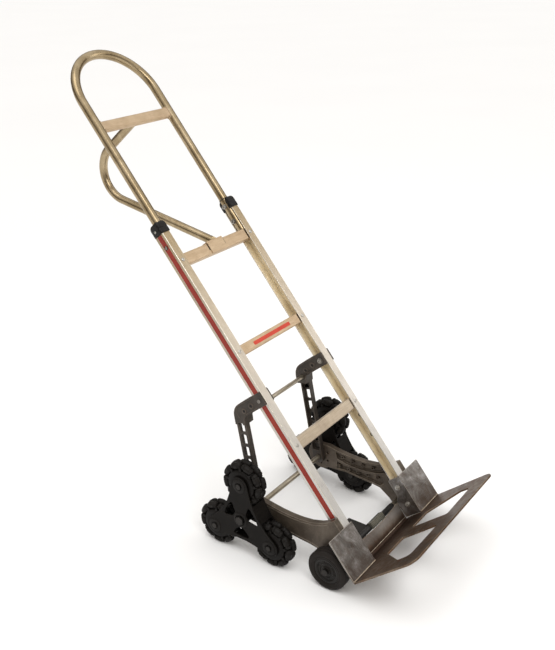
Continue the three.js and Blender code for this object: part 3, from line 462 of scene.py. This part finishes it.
def rounded_poly(corners, step=12):
    out = []
    n = len(corners)
    for i in range(n):
        p, (x, y, r), q = corners[i - 1], corners[i], corners[(i + 1) % n]
        a, b = Vector((p[0] - x, p[1] - y)).normalized(), Vector((q[0] - x, q[1] - y)).normalized()
        half = a.angle(b) / 2
        t = r / math.tan(half)
        cc = Vector((x, y)) + (a + b).normalized() * (r / math.sin(half))
        s0, e0 = Vector((x, y)) + a * t, Vector((x, y)) + b * t
        a0 = math.atan2(s0.y - cc.y, s0.x - cc.x)
        d = math.atan2(e0.y - cc.y, e0.x - cc.x) - a0
        d = (d + math.pi) % (2 * math.pi) - math.pi
        k = max(2, round(abs(d) / math.radians(step)))
        out += [(cc.x + r * math.cos(a0 + d * j / k), cc.y + r * math.sin(a0 + d * j / k)) for j in range(k + 1)]
    return out


for s, sx in SIDES:
    bm = bmesh.new()
    outer = rounded_poly([(127.7, 3.2, 3), (160.1, 3.2, 8), (160.1, -38.2, 13), (127.7, -38.2, 5)])
    rings = []
    for v, k in ((1000.1, 0.6), (1000.7, 0.0), (1013.0, 0.0), (1013.5, 0.5), (1014.5, 0.5), (1015.0, 0.0), (1022.0, 0.0), (1026.5, 0.9), (1029.8, 2.6), (1032.3, 5.2), (1033.6, 8.4), (1033.9, 11.0)):
        ring = []
        for x, w in outer:
            cx, cw = 144.5, -17.45
            d = Vector((x - cx, w - cw))
            q = max(0.0, 1 - k * (1.15 if w < -20 else 0.75) / d.length)
            ring.append(bm.verts.new(T(sx * (cx + d.x * q), v, cw + d.y * q)))
        rings.append(ring)
    for a, b in zip(rings, rings[1:]):
        for k in range(len(outer)):
            bm.faces.new((a[k], a[(k + 1) % len(outer)], b[(k + 1) % len(outer)], b[k]))
    bm.faces.new(rings[0])
    bm.faces.new(rings[-1])
    finish_bm(bm, "rail_cap_shell_" + s, "black", "frame", ["rail_cap_" + s], 40)
    # raised collar where the tube leaves the cap
    bm = bmesh.new()
    swept(bm, [T(sx * (137 + 13.6 * math.cos(a)), 1033.2, -17.45 + 13.6 * math.sin(a)) for a in (2 * math.pi * k / 48 for k in range(48))], 1.1, VH, 10, closed=True)
    finish_bm(bm, "cap_collar_" + s, "black_edge", "frame")
    # bosses, pocket and rib on the support head
    bm = bmesh.new()
    for v, w, r in ((500, -52, 9.0), (497, -84, 8.0)):
        p = T(sx * 161.4, v, w)
        turned(bm, [(-sx * 0.5, r * 0.50), (-sx * 0.5, r), (sx * 0.9, r * 0.93), (sx * 1.3, r * 0.80), (sx * 1.3, r * 0.62), (sx * 0.2, r * 0.50)], 32, p)
        p = T(sx * 124.8, v, w)
        turned(bm, [(sx * 0.5, r * 0.50), (sx * 0.5, r), (-sx * 0.9, r * 0.93), (-sx * 1.3, r * 0.80), (-sx * 1.3, r * 0.62), (-sx * 0.2, r * 0.50)], 32, p)
    line = [(487, -38), (487, -84)]
    for xx in (161.4, 124.8):
        swept(bm, [T(sx * xx, v, w) for v, w in line], 1.1, XH, 8, flat=0.7)
        swept(bm, [T(sx * xx, v, w) for v, w in [(517.5, -36), (517.5, -96), (513, -106), (502, -112), (488, -113)]], 1.1, XH, 8, flat=0.7)
    finish_bm(bm, "head_bosses_" + s, "casting_edge", "frame", [], 42)
    # painted shade: flat black discs in the boss centres stand in for the holes
    bm = bmesh.new()
    for v, w, r in ((500, -52, 4.2), (497, -84, 3.8)):
        for xx, o in ((161.4, 1), (124.8, -1)):
            turned(bm, [(sx * o * 0.05, 0.01), (sx * o * 0.05, r), (sx * o * 0.35, r * 0.96), (sx * o * 0.35, 0.01)], 24, T(sx * xx, v, w))
    finish_bm(bm, "head_hole_shades_" + s, "black", "frame", [], 42)

# painted shadow: thin black strips each side of the saddle and where the bar ends pass behind the rail flange
bm = bmesh.new()


def shadow_strip(bm, x0, x1, v0, v1, w0, w1):
    block(bm, [T(x, v, w) for w in (w0, w1) for x, v in ((x0, v0), (x1, v0), (x1, v1), (x0, v1))])


for sx in (-1, 1):
    shadow_strip(bm, sx * 31.2, sx * 34.6, 911.5, 929.5, -4.6, -3.85)
    for v0, v1 in ((898.7, 931.4), (620.6, 649.2), (336.8, 368.6)):
        shadow_strip(bm, sx * 127.4, sx * 129.6, v0 + 1.5, v1 - 1.5, -4.6, -3.8)
finish_bm(bm, "bar_gap_shadows", "black", "frame")

# plain colour label on the middle crossbar
bm = bmesh.new()
x0, x1, v0, v1, n = -78, 84, 629.6, 640.2, 8
out = [(x0 + 3, v0), (x1 - 3, v0), (x1 - 0.9, v0 + 0.9), (x1, v0 + 3), (x1, v1 - 3), (x1 - 0.9, v1 - 0.9), (x1 - 3, v1), (x0 + 3, v1), (x0 + 0.9, v1 - 0.9), (x0, v1 - 3), (x0, v0 + 3), (x0 + 0.9, v0 + 0.9)]
a = [bm.verts.new(T(x, v, -3.95)) for x, v in out]
b = [bm.verts.new(T(x, v, -3.6)) for x, v in out]
bm.faces.new(b)
bm.faces.new(a[::-1])
for k in range(len(out)):
    bm.faces.new((a[k], a[(k + 1) % len(out)], b[(k + 1) % len(out)], b[k]))
finish_bm(bm, "plain_label", "label", "frame")

# ---------------------------------------------------------------- front wheels
FY = mid("front_axle")
for s, sx in SIDES:
    c = Vector((mid("front_tyre_" + s).x, FY.y, FY.z))
    half = 18.0
    prof = [(half - 3, 36.3), (half - 1.6, 38.5), (half - 0.5, 41), (half - 1.3, 42.0), (half - 1.3, 43.0), (half - 0.2, 44), (half, 47), (half - 0.6, 50.5), (half - 2.4, 53.6), (half - 5.0, 55.7), (half - 7.5, 56.5),
            (11.0, 56.65), (10.4, 55.6), (9.2, 55.6), (8.6, 56.7), (1.4, 56.7), (0.8, 55.6), (-0.8, 55.6), (-1.4, 56.7), (-8.6, 56.7), (-9.2, 55.6), (-10.4, 55.6), (-11.0, 56.65)]
    prof += [(-x, r) for x, r in reversed(prof[:11])]
    bm = bmesh.new()
    turned(bm, prof, 72, c)
    finish_bm(bm, "tyre_" + s, "tyre", "front_wheel_" + s, ["front_tyre_" + s], 50)
    o = half
    hp = [(o - 1, 7.07), (o - 0.6, 12.4), (o - 1.2, 13.2), (o - 4.2, 13.8), (o - 5.2, 15.4), (o - 5.2, 18.6), (o - 3.6, 19.4), (o - 3.6, 21.6), (o - 5.6, 22.6), (o - 6.2, 27.6), (o - 3.4, 29.4), (o - 2.6, 31), (o - 2.8, 34.6), (o - 3.6, 36.0)]
    hp = hp + [(-x, r) for x, r in reversed(hp)]
    bm = bmesh.new()
    turned(bm, hp, 64, c)
    for side in (-1, 1):
        for k in range(6):  # low ribs on the hub face
            a0 = 2 * math.pi * k / 6 + 0.2
            u, t = Vector((0, math.cos(a0), math.sin(a0))), Vector((0, -math.sin(a0), math.cos(a0)))
            cs = []
            for x in (side * (o - 8.0), side * (o - 4.4)):
                for rr, tt in ((14.2, -1.2), (28.6, -1.0), (28.6, 1.0), (14.2, 1.2)):
                    cs.append(c + (u * rr + t * tt + XH * x) / 1000)
            block(bm, cs)
    finish_bm(bm, "hub_" + s, "hub", "front_wheel_" + s, ["front_wheel_hub_" + s], 40)

# ---------------------------------------------------------------- star wheels: two offset races of nine barrel rollers
def roller_wheel(s, sx, place):
    c = Vector((sx * 0.2073, mid("star_wheel_%s_%s" % (place, s)).y, mid("star_wheel_%s_%s" % (place, s)).z))
    body = "star_wheel_%s_%s" % (place, s)
    bm = bmesh.new()
    R, rc, hl = 62.5, 52.9, 16.8
    for xm, ph in ((9.8 * sx, -90.0), (-9.8 * sx, -70.0)):
        for k in range(9):
            t = math.radians(40 * k + ph)
            u, q = Vector((0, math.cos(t), math.sin(t))), Vector((0, -math.sin(t), math.cos(t)))
            centre = c + (u * rc + XH * xm) / 1000
            prof = []
            for sft in (-hl, -hl + 0.5, -hl + 1.6, -hl + 3.2, -9.4, -8.4, -7.2, -6.2, -2, 2, 6.2, 7.2, 8.4, 9.4, hl - 3.2, hl - 1.6, hl - 0.5, hl):
                rad = min(9.4, math.sqrt(R * R - sft * sft) - rc)
                if abs(sft) in (8.4, 7.2):
                    rad -= 1.2
                rad -= {0.0: 3.6, 0.5: 2.2, 1.6: 1.0, 3.2: 0.3}.get(round(hl - abs(sft), 1), 0.0)
                prof.append((sft, rad))
            seg = 18
            rings = [[bm.verts.new(centre + (q * a0 + (u * math.cos(w) + XH * math.sin(w)) * r0) / 1000) for w in (2 * math.pi * j / seg for j in range(seg))] for a0, r0 in prof]
            for i in range(len(rings) - 1):
                for j in range(seg):
                    bm.faces.new((rings[i][j], rings[i][(j + 1) % seg], rings[i + 1][(j + 1) % seg], rings[i + 1][j]))
            bm.faces.new(rings[0])
            bm.faces.new(rings[-1])
    finish_bm(bm, "rollers_%s_%s" % (place, s), "roller", body, ["star_wheel_%s_%s" % (place, s)], 50)
    bm = bmesh.new()
    o = 20.2
    pr = [(o + 1.6, 5.2), (o + 1.6, 12.6), (o + 1.0, 13.8), (o - 1.0, 14.4), (o - 2.0, 16.0), (o - 2.4, 24.0), (o - 0.8, 25.4), (o - 0.4, 31), (o - 0.8, 39.4), (o - 2.2, 41.6), (o - 4.0, 42.6), (o - 9.4, 42.9), (0.8, 42.9), (0.0, 41.5)]
    pr = pr + [(-x, r) for x, r in reversed(pr[:-1])]
    turned(bm, pr, 54, c)
    for xm, ph in ((9.8 * sx, -90.0), (-9.8 * sx, -70.0)):
        for k in range(9):  # forks between the rollers, which hold the roller pins
            t = math.radians(40 * k + 20 + ph)
            u, q = Vector((0, math.cos(t), math.sin(t))), Vector((0, -math.sin(t), math.cos(t)))
            cs = []
            for xx in (xm - 8.6, xm + 8.6):
                for rr, tt in ((41.5, -3.0), (53.0, -1.4), (53.0, 1.4), (41.5, 3.0)):
                    cs.append(c + (u * rr + q * tt + XH * xx * 1) / 1000)
            block(bm, cs)
            for side in (-1, 1):  # rounded pads over the pin ends on the outer faces
                turned(bm, [(side * 0.0, 0.01), (side * 0.0, 4.6), (side * 0.9, 4.2), (side * 1.1, 0.01)], 16, c + (u * 45.5 + XH * (xm + side * 8.4)) / 1000)
    finish_bm(bm, "wheel_core_%s_%s" % (place, s), "core", body, [], 42)


for s, sx in SIDES:
    for place in ("top", "front", "rear"):
        roller_wheel(s, sx, place)

# ---------------------------------------------------------------- relief on the star frames: bosses, hub collar and raised ribs
for s, sx in SIDES:
    bm = bmesh.new()
    for face, dx in ((1, 233.8), (-1, 180.8)):
        cx = sx * dx / 1000
        out = face * sx
        turned(bm, [(out * -0.6, 16.4), (out * -0.6, 22.5), (out * 1.2, 21.6), (out * 2.0, 19.4), (out * 2.0, 16.4)] if face > 0 else [(out * -0.4, 17), (out * -0.4, 21), (out * 0.5, 20), (out * 0.5, 17)], 40, Vector((cx, HUB.y, HUB.z)))
        for a in (90, 210, 330):
            t = math.radians(a)
            p = Vector((cx, HUB.y + 0.10606 * math.cos(t), HUB.z + 0.10606 * math.sin(t)))
            h = 1.6 if face > 0 else 0.6
            turned(bm, [(out * -0.6, 9.4), (out * -0.6, 20.5), (out * h * 0.6, 19.8), (out * h, 18.2), (out * h, 11.0), (out * 0.2, 10.2)], 36, p)
    finish_bm(bm, "star_relief_" + s, "star_edge", "star_" + s, [], 40)

for s, sx in SIDES:  # curved webs that join the two plates along their waisted edges
    bm = bmesh.new()
    for a in (30, 150, 270):
        t = math.radians(a)
        cy, cz = HUB.y * 1000 + 265.3 * math.cos(t), HUB.z * 1000 + 265.3 * math.sin(t)
        cols = []
        for k in range(17):
            f = t + math.pi + math.radians(-7.5 + 15 * k / 16)
            ribbed = 0.5 if k in (4, 8, 12) else 0.0
            cols.append([bm.verts.new((sx * x / 1000, (cy + r * math.cos(f)) / 1000, (cz + r * math.sin(f)) / 1000)) for r, x in ((204.3 - ribbed, 185.0), (207.5, 185.0), (207.5, 229.6), (204.3 - ribbed, 229.6))])
        for p_, q_ in zip(cols, cols[1:]):
            for j in range(4):
                bm.faces.new((p_[j], p_[(j + 1) % 4], q_[(j + 1) % 4], q_[j]))
        bm.faces.new(cols[0])
        bm.faces.new(cols[-1])
    finish_bm(bm, "star_webs_" + s, "star", "star_" + s, [], 40)

# ---------------------------------------------------------------- nose: welds and bright corner lines (the painted shade and reflection of the bend are in the nose_plate material)
bm = bmesh.new()
swept(bm, [T(-111 + 222 * k / 120, 3.2, -41.0) for k in range(121)], 1.0, VH, 8, ripple=0.12, pitch=4.0)
for sx in (-1, 1):
    swept(bm, [T(sx * (125.5 + 103 * k / 60), -2.2 + 0.15 * math.sin(k), 5.7) for k in range(61)], 1.7, VH, 8, ripple=0.25, pitch=3.6)
    swept(bm, [T(sx * 124.7, -4.0 - 1.2 * k / 36, 3.0 - 46 * k / 36) for k in range(37)], 1.0, VH, 8, ripple=0.25, pitch=3.2)
    swept(bm, [T(sx * (130 + 98 * k / 60), -3.8, 0.2) for k in range(61)], 1.2, VH, 8, ripple=0.2, pitch=3.6)
finish_bm(bm, "nose_welds", "weld", "frame")

# ---------------------------------------------------------------- bosses and lightening eyelets on the lower arms
for s, sx in SIDES:
    bm = bmesh.new()
    face = sx * 0.1572
    inn = -sx
    spots = [(24, 97, 5.2), (4, 97.5, 5.4), (-30, 98, 5.4), (-62, 98.5, 5.4), (-94, 101, 5.4), (-126, 103, 5.2), (-8, 131, 5.2), (-42, 126.5, 5.0), (-76, 126, 5.0), (-110, 129.5, 5.0), (-142, 138, 5.0)]
    for y, z, r in spots:
        p = L(sx * 157.2, y, z)
        turned(bm, [(inn * -9, r * 0.52), (inn * -9, r * 1.25), (inn * -1.6, r * 1.12), (inn * -0.9, r * 0.96), (inn * -0.9, r * 0.60), (inn * -1.5, r * 0.52)], 28, p)
    for k in range(10):
        a = 2 * math.pi * k / 10 + 0.2
        p = Vector((face, HUB.y + 0.0355 * math.cos(a), HUB.z + 0.0355 * math.sin(a)))
        turned(bm, [(inn * -0.2, 2.1), (inn * -0.2, 4.0), (inn * 0.25, 3.8), (inn * 0.25, 2.3)], 20, p)
    finish_bm(bm, "arm_bosses_" + s, "arm", "frame", [], 42)
    # raised flange line along the top of the outer face, and one along the bottom, in the lighter edge finish (worn
    # edge plus painted highlight)
    bm = bmesh.new()
    top = [(40, 147), (10, 142.5), (-23, 138), (-55, 136), (-87, 136.5), (-119, 140.5), (-150, 149.5), (-172, 160)]
    low = [(22, 88), (-17, 92.5), (-70, 87.5), (-111, 84.5), (-137, 80.5), (-166, 66)]
    for line, wd in ((top, 1.5), (low, 1.3)):
        fine = []
        for i in range(len(line) - 1):
            for k in range(6):
                q = k / 6
                fine.append((line[i][0] * (1 - q) + line[i + 1][0] * q, line[i][1] * (1 - q) + line[i + 1][1] * q))
        fine.append(line[-1])
        swept(bm, [L(sx * 174.0, y, z) for y, z in fine], wd, XH, 10, flat=0.7)
    finish_bm(bm, "arm_ribs_" + s, "arm_edge", "frame", [], 60)

# ---------------------------------------------------------------- fasteners: button heads outside, washers and nuts inside
def fastener(name, node, sx, v, w, x_head, x_nut, r_head, r_nut, look="zinc"):
    bm = bmesh.new()
    out = Vector((sx, 0, 0))
    pill(bm, T(sx * x_head, v, w), out, VH, r_head, 2.3, 28, 0.46, 0.6)
    turned(bm, [(0, 0.01), (0, 3.6), (sx * (x_head - x_nut + 0.2), 3.6), (sx * (x_head - x_nut + 0.2), 0.01)], 20, T(sx * (x_nut - 0.1), v, w))
    turned(bm, [(0, 3.7), (0, r_nut * 1.22), (-sx * 0.9, r_nut * 1.2), (-sx * 1.0, 3.7)], 28, T(sx * x_nut, v, w))
    c0 = T(sx * (x_nut - 1.0), v, w)  # hexagon nut with chamfered corners
    rings = []
    for dx, k in ((0.0, 0.96), (0.4, 1.0), (4.2, 1.0), (4.7, 0.93), (5.2, 0.62), (5.2, 0.40), (3.0, 0.38)):
        rings.append([bm.verts.new(c0 + (VH * math.cos(a) + WH * math.sin(a)) * (r_nut * k * (1.0 if k > 0.9 and j % 2 == 0 else 0.93)) / 1000 - out * dx / 1000) for j, a in enumerate(2 * math.pi * q / 12 for q in range(12))])
    for a, b in zip(rings, rings[1:]):
        for k in range(12):
            bm.faces.new((a[k], a[(k + 1) % 12], b[(k + 1) % 12], b[k]))
    bm.faces.new(rings[0])
    bm.faces.new(rings[-1])
    finish_bm(bm, name, look, "frame", [node], 24)


for s, sx in SIDES:
    fastener("cap_bolt_" + s, "handle_bolt_top_" + s, sx, 1012, -17.45, 160.1, 124.1, 3.6, 6.2, "zinc_dark")
    fastener("tube_bolt_" + s, "handle_bolt_low_" + s, sx, 963, -17.45, 156.1, 124.1, 4.0, 6.2, "zinc_dark")
    fastener("bracket_bolt_top_" + s, "nose_bolt_top_" + s, sx, 84, -20, 155.7, 124.8, 4.6, 6.6)
    fastener("bracket_bolt_low_" + s, "nose_bolt_low_" + s, sx, 30, -20, 155.7, 124.8, 4.6, 6.6)
    fastener("leg_bolt_" + s, "leg_bolt_front_" + s, sx, 500, -17.45, 161.5, 124.6, 5.2, 6.6, "zinc_dark")

# ---------------------------------------------------------------- carried-over nodes: rounded edges and finishes
def carry(names, look, edge=None, width=0.0006, segs=2, angle=38, slotted=True):
    for n in names:
        o = NODES[n]
        me = o.data
        for key in ("custom_normal", "sharp_edge", "sharp_face"):
            at = me.attributes.get(key)
            if at is not None:
                me.attributes.remove(at)
        for p in me.polygons:
            p.use_smooth = True
            p.material_index = 0
        me.materials.clear()
        me.materials.append(M[look])
        w = o.modifiers.new("join", "WELD")
        w.merge_threshold = 2e-6
        d = o.modifiers.new("flat", "DECIMATE")
        d.decimate_type, d.angle_limit = "DISSOLVE", math.radians(0.6)
        if width:
            bevel_mod(o, width, segs, angle, edge)
        sp = o.modifiers.new("crease", "EDGE_SPLIT")
        sp.split_angle, sp.use_edge_sharp = math.radians(46 if width else 34), False
        wn = o.modifiers.new("normals", "WEIGHTED_NORMAL")
        wn.keep_sharp = True


def lr(*stems):
    return [k + e for k in stems for e in ("_left", "_right")]


carry(lr("rail"), "rail", "rail_edge", 0.0007)
for n in lr("rail"):
    me = NODES[n].data
    me.materials.append(M["channel"])
    for p in me.polygons:  # faces inside the channel get the lighter channel finish, light painted where the channel lies in shade
        c = p.center
        w = -(c.y - _z.y) * C + (c.z - _z.z) * S
        if abs(c.x) < 0.1516 and -0.0324 < w < -0.0026 and abs(p.normal.dot(VH)) < 0.5 and (abs(p.normal.x) > 0.5 or (p.normal.dot(WH) > 0) == (w < -0.0174)):
            p.material_index = len(me.materials) - 1
carry(lr("rail_strip"), "strip", None, 0.0)
carry(["handle_crossbar"], "bar", None, 0.0)
carry(["crossbar_upper", "crossbar_middle"], "bar", None, 0.0)
carry(["crossbar_lower"], "bar_low", None, 0.0)
carry(["grip_saddle"], "bar", None, 0.0005)
carry(["toe_plate"], "nose", "nose_edge", 0.0008)
carry(lr("nose_bracket"), "ear", "ear_edge", 0.0007)
carry(["foot_pedal"], "pedal", "pedal_edge", 0.0004)
me = NODES["foot_pedal"].data
me.materials.append(M["tread"])
for p in me.polygons:
    c = p.center
    v = (c.y - _z.y) * S + (c.z - _z.z) * C
    w = -(c.y - _z.y) * C + (c.z - _z.z) * S
    if -0.0045 < c.x < 0.0605 and 0.0370 < v < 0.0560 and w > -0.0735:
        p.material_index = len(me.materials) - 1
carry(lr("support_leg"), "casting", "casting_edge", 0.0010)
carry(lr("lower_arm"), "arm", "arm_edge", 0.0012)
carry(["tie_rod", "front_axle", "main_axle"], "rod", None, 0.0006)
carry(lr("front_axle_nut", "main_axle_nut"), "black_steel", None, 0.0006)
carry(lr("star_frame"), "star", "star_edge", 0.0008)
carry(lr("star_pin_top", "star_pin_front", "star_pin_rear"), "black_steel", None, 0.0005)

# ---------------------------------------------------------------- stage, light and camera
bm = bmesh.new()
size = 60.0
bmesh.ops.create_grid(bm, x_segments=12, y_segments=12, size=size)
me = bpy.data.meshes.new("studio_floor")
bm.to_mesh(me)
bm.free()
floor = bpy.data.objects.new("studio_floor", me)
floor.location = (0, 0, -0.0003)
bpy.context.scene.collection.objects.link(floor)
fm = Mat("studio_floor")
fn = fm.noise(fm.co, 0.6, 3, 0.5)
me.materials.append(fm.done(fm.ramp(fn, [(0.3, (0.945, 0.944, 0.942)), (0.7, (0.955, 0.954, 0.952))]), fm.span(fn, 0.3, 0.7, 0.85, 0.95), 0.0, 0.1))

world = bpy.data.worlds.new("studio")
bpy.context.scene.world = world
world.use_nodes = True
nt = world.node_tree
nt.nodes.clear()
wo = nt.nodes.new("ShaderNodeOutputWorld")
bg = nt.nodes.new("ShaderNodeBackground")
tc = nt.nodes.new("ShaderNodeTexCoord")
sep = nt.nodes.new("ShaderNodeSeparateXYZ")
rmp = nt.nodes.new("ShaderNodeValToRGB")
el = rmp.color_ramp.elements
while len(el) < 5:
    el.new(0.5)
for k, (p, c) in zip(el, [(0.0, (0.30, 0.27, 0.24)), (0.10, (0.15, 0.125, 0.10)), (0.36, (0.22, 0.19, 0.16)), (0.56, (0.92, 0.90, 0.87)), (1.0, (1.05, 1.05, 1.05))]):
    k.position = p
    k.color = (*c, 1)
nt.links.new(tc.outputs["Generated"], sep.inputs[0])
nt.links.new(sep.outputs[2], rmp.inputs[0])
nt.links.new(rmp.outputs[0], bg.inputs[0])
bg.inputs[1].default_value = 1.04
nt.links.new(bg.outputs[0], wo.inputs[0])


def area(name, loc, target, w, h, power, color=(1, 1, 1)):
    d = bpy.data.lights.new(name, "AREA")
    d.shape, d.size, d.size_y, d.energy, d.color = "RECTANGLE", w, h, power, color
    o = bpy.data.objects.new(name, d)
    o.location = loc
    o.rotation_euler = (Vector(target) - Vector(loc)).to_track_quat("-Z", "Y").to_euler()
    bpy.context.scene.collection.objects.link(o)
    return o


area("key", (-1.4, -2.6, 3.4), (0, 0, 0.5), 1.2, 1.8, 34, (1.0, 0.99, 0.97))
area("side", (2.6, -1.8, 1.9), (0, 0, 0.5), 0.8, 2.2, 14, (1.0, 0.98, 0.95))
sun = bpy.data.objects.new("top_sun", bpy.data.lights.new("top_sun", "SUN"))
sun.data.energy, sun.data.angle, sun.data.color = 0.70, math.radians(40), (1.0, 0.99, 0.98)
sun.rotation_euler = Vector((0.30, -0.05, -1.0)).to_track_quat("-Z", "Y").to_euler()
bpy.context.scene.collection.objects.link(sun)

cam = bpy.data.objects.new("camera", bpy.data.cameras.new("camera"))
bpy.context.scene.collection.objects.link(cam)
bpy.context.scene.camera = cam
right, up, back = Vector((0.58707, -0.80905, -0.0278)), Vector((0.33580, 0.21213, 0.91773)), Vector((-0.73660, -0.54811, 0.39622))
cam.matrix_world = Matrix((
    (right.x, up.x, back.x, -1.70088),
    (right.y, up.y, back.y, -1.30434),
    (right.z, up.z, back.z, 1.50609),
    (0, 0, 0, 1)))
cam.data.sensor_width, cam.data.sensor_fit, cam.data.lens = 36, "AUTO", 47.81
cam.data.clip_start, cam.data.clip_end = 0.05, 200
vs = bpy.context.scene.view_settings
vs.view_transform, vs.look, vs.exposure, vs.gamma = "Standard", "None", 0.0, 1.0
